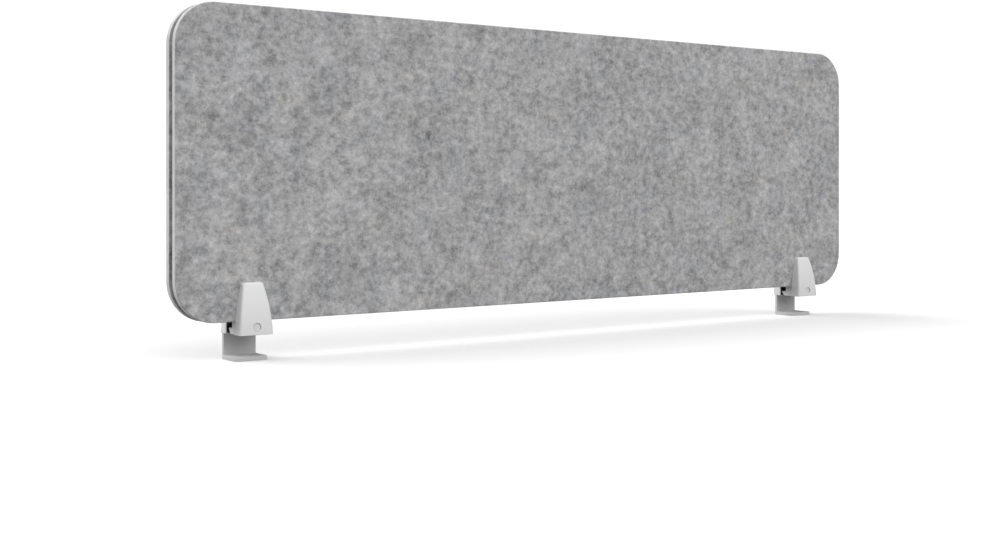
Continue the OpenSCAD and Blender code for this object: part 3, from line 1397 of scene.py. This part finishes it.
    def _pad_ribs(self, name: str, low: Vector, high: Vector, rib: float) -> bpy.types.Object:
        """Grows the round ribs on the underside of the desk pad.

        Args:
            name: The new piece's name.
            low: The pad's lowest corner.
            high: Its highest corner.
            rib: The radius of one rib.

        Returns:
            The ribs, as one piece.
        """
        across, count = high.x - low.x - 4 * rib, self.rib_count
        step = (high.y - low.y - 4 * rib) / (count - 1)
        tree = GrowthTree(f"{name}_growth", Count=count, Step=step, Radius=rib, Length=across)
        line = tree.node(
            "GeometryNodeMeshLine",
            {"mode": "OFFSET"},
            {"Count": tree.given("Count"), "Offset": tree.vector(y=tree.given("Step"))},
        )
        rod = tree.node(
            "GeometryNodeMeshCylinder",
            {"fill_type": "NGON"},
            {"Vertices": 16, "Radius": tree.given("Radius"), "Depth": tree.given("Length")},
            "Mesh",
        )
        lying = tree.placed(rod, (0.0, 0.0, 0.0), (0.0, math.radians(90), 0.0))
        rods = tree.node("GeometryNodeInstanceOnPoints", None, {"Points": line, "Instance": lying})
        place = (self.x, low.y + 2 * rib, low.z + rib)
        ribs = tree.grow(name, tree.placed(rods, place), self.finishes.rubber)
        smooth(ribs)
        return ribs

    def fasteners(self) -> None:
        """Makes the clamp screw with its thread, and dresses its square nut."""
        zinc = self.finishes.zinc
        nut = self.node("square_nut")
        seat(bevelled_copy(nut, f"{nut}_plated", self.nut_edge, zinc), PANEL_BODY, nut)
        name = self.node("clamp_screw")
        low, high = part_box(name)
        head, shank = (high.x - low.x) / 2, self.shank_radius
        core = shank - self.thread_depth
        under, tip = self.face - self.seat_depth, high.y
        thread, edge = tip - self.thread_length, self.screw_edge
        profile = [(low.y, 0.0), (low.y, head - edge), (low.y + edge, head), (under, head), (under, shank)]
        profile += [(thread - edge, shank), (thread, core), (tip - edge, core)]
        profile += [(tip, core - edge), (tip, 0.0)]
        screw = turned(f"{name}_plated", profile, (self.x, 0.0, self.screw.z), zinc)
        mouth, bottom = low.y - edge, low.y + self.socket_depth
        socket = [(mouth, 0.0), (mouth, self.socket_radius), (bottom, self.socket_radius), (bottom, 0.0)]
        tool = turned("hexagon", socket, (self.x, 0.0, self.screw.z), zinc, steps=6)
        cut_or_join(screw, tool, "DIFFERENCE")
        smooth(screw)
        seat(screw, name, name)
        seat(self._thread(f"{name}_thread", core, thread, tip - edge), name)

    def _thread(self, name: str, core: float, start: float, end: float) -> bpy.types.Object:
        """Grows the screw's thread as a ridge along a helix.

        Args:
            name: The new piece's name.
            core: The radius that the ridge stands on.
            start: The Y at which it starts.
            end: The Y at which it ends.

        Returns:
            The ridge.
        """
        size = self.thread_depth - self.thread_sunk
        turns = (end - start - 2 * size) / self.thread_pitch
        height = turns * self.thread_pitch
        tree = GrowthTree(f"{name}_growth", Turns=turns, Radius=core, Height=height, Ridge=size, Steps=20)
        helix = tree.node(
            "GeometryNodeCurveSpiral",
            None,
            {
                "Resolution": tree.given("Steps"),
                "Rotations": tree.given("Turns"),
                "Start Radius": tree.given("Radius"),
                "End Radius": tree.given("Radius"),
                "Height": tree.given("Height"),
            },
        )
        upright = tree.node("GeometryNodeSetCurveNormal", {"mode": "Z_UP"}, {"Curve": helix})
        ridge = tree.swept(upright, 4, tree.given("Ridge"))
        place = (self.x, start + size, self.screw.z)
        coil = tree.grow(name, tree.placed(ridge, place, (math.radians(-90), 0.0, 0.0)), self.finishes.zinc)
        smooth(coil)
        return coil


# ----- The studio -----


@dataclass(frozen=True)
class SoftLight:
    """A broad patch of light in the surround, which fades out towards its rim."""

    towards: Point
    strength: float
    core_degrees: float = 17.5
    rim_degrees: float = 50.0

    def glow(self, sheet: NodeSheet, way: Field) -> Field:
        """How strongly the patch shines in a direction."""
        aim = tuple(Vector(self.towards).normalized())
        settings = {"operation": "DOT_PRODUCT"}
        along = sheet.node("ShaderNodeVectorMath", settings, {0: way, 1: aim}, output="Value")
        rim, core = (math.cos(math.radians(angle)) for angle in (self.rim_degrees, self.core_degrees))
        return along.fade(rim, core) * self.strength


@dataclass
class Studio:
    """A white studio: a pale floor, large soft lights in front and behind, and the camera."""

    camera_place: Point = (-1.2284, -1.5021, 0.2063)
    camera_turn_degrees: float = 36.72
    lens: float = 49.8
    shift_down: float = 0.0894
    floor_half: float = 40.0
    backdrop: float = 1.05
    floor_seen: float = 0.855
    floor_bounce: float = 0.25
    lights: tuple[SoftLight, ...] = (
        SoftLight((0.15, -0.7, 0.7), 2.55),
        SoftLight((-0.55, 0.5, 0.65), 3.5),
        SoftLight((-0.7, -0.7, 0.12), 0.25),
    )

    def build(self) -> None:
        """Makes the camera, the floor and the surround with its lights."""
        self._camera()
        self._floor()
        self._surround()

    def _camera(self) -> None:
        """Makes the level camera, whose frame is shifted down."""
        data = bpy.data.cameras.new("studio_camera")
        data.lens = self.lens
        data.sensor_width = 36.0
        data.shift_y = -self.shift_down
        data.clip_start = 0.01
        data.clip_end = 100.0
        camera = linked("studio_camera", data)
        camera.location = self.camera_place
        camera.rotation_euler = (math.radians(90), 0.0, -math.radians(self.camera_turn_degrees))
        bpy.context.scene.camera = camera

    def _floor(self) -> None:
        """Makes the pale floor, which throws back less light than the camera sees."""
        sheet = MaterialSheet("studio_floor_paper")
        drift = sheet.grain(0.8, detail=2.0)
        tone = sheet.blend(grey(self.floor_seen * 0.99), grey(self.floor_seen * 1.01), drift)
        seen = sheet.node("ShaderNodeBsdfDiffuse", None, {"Color": tone})
        bounced = sheet.node("ShaderNodeBsdfDiffuse", None, {"Color": grey(self.floor_bounce)})
        ray = sheet.node("ShaderNodeLightPath", output="Is Camera Ray")
        both = sheet.node("ShaderNodeMixShader", None, {0: ray, 1: bounced, 2: seen})
        sheet.node("ShaderNodeOutputMaterial", None, {"Surface": both})
        half = self.floor_half
        points = [(-half, -half, 0.0), (half, -half, 0.0), (half, half, 0.0), (-half, half, 0.0)]
        mesh = bpy.data.meshes.new("studio_floor")
        mesh.from_pydata(points, [], [(0, 1, 2, 3)])
        mesh.materials.append(sheet.material)
        linked("studio_floor", mesh)

    def _surround(self) -> None:
        """Makes the surround: the soft lights, and plain white where the camera sees it."""
        world = bpy.data.worlds.new("studio_surround")
        world.use_nodes = True
        bpy.context.scene.world = world
        sheet = NodeSheet(world.node_tree)
        seen = sheet.node("ShaderNodeLightPath", output="Is Camera Ray")
        way = sheet.node("ShaderNodeTexCoord", output="Generated")
        light = sum((light.glow(sheet, way) for light in self.lights), 0.0)
        strength = seen * self.backdrop + (1 - seen) * light
        shader = sheet.node("ShaderNodeBackground", None, {"Color": grey(1.0), "Strength": strength})
        sheet.node("ShaderNodeOutputWorld", None, {"Surface": shader})


def main() -> None:
    """Builds the studio, the screen and both clamps."""
    bpy.context.scene.view_settings.view_transform = "Standard"
    Studio().build()
    FeltScreen().build()
    finishes = ClampFinishes(
        coat=PowderCoat("silver_grey_powder_coat").material(),
        # The hook's coat is darker than the jaws': painted shade for its shaded upright.
        hook_coat=PowderCoat("hook_powder_coat", colour=grey(0.58, -0.002)).material(),
        cap=MouldedPlastic("cap_plastic").material(),
        rubber=GripRubber("pad_rubber").material(),
        zinc=ZincPlate("zinc_plate").material(),
    )
    for side in Side:
        Clamp(side, finishes).build()


if __name__ == "__main__":
    main()
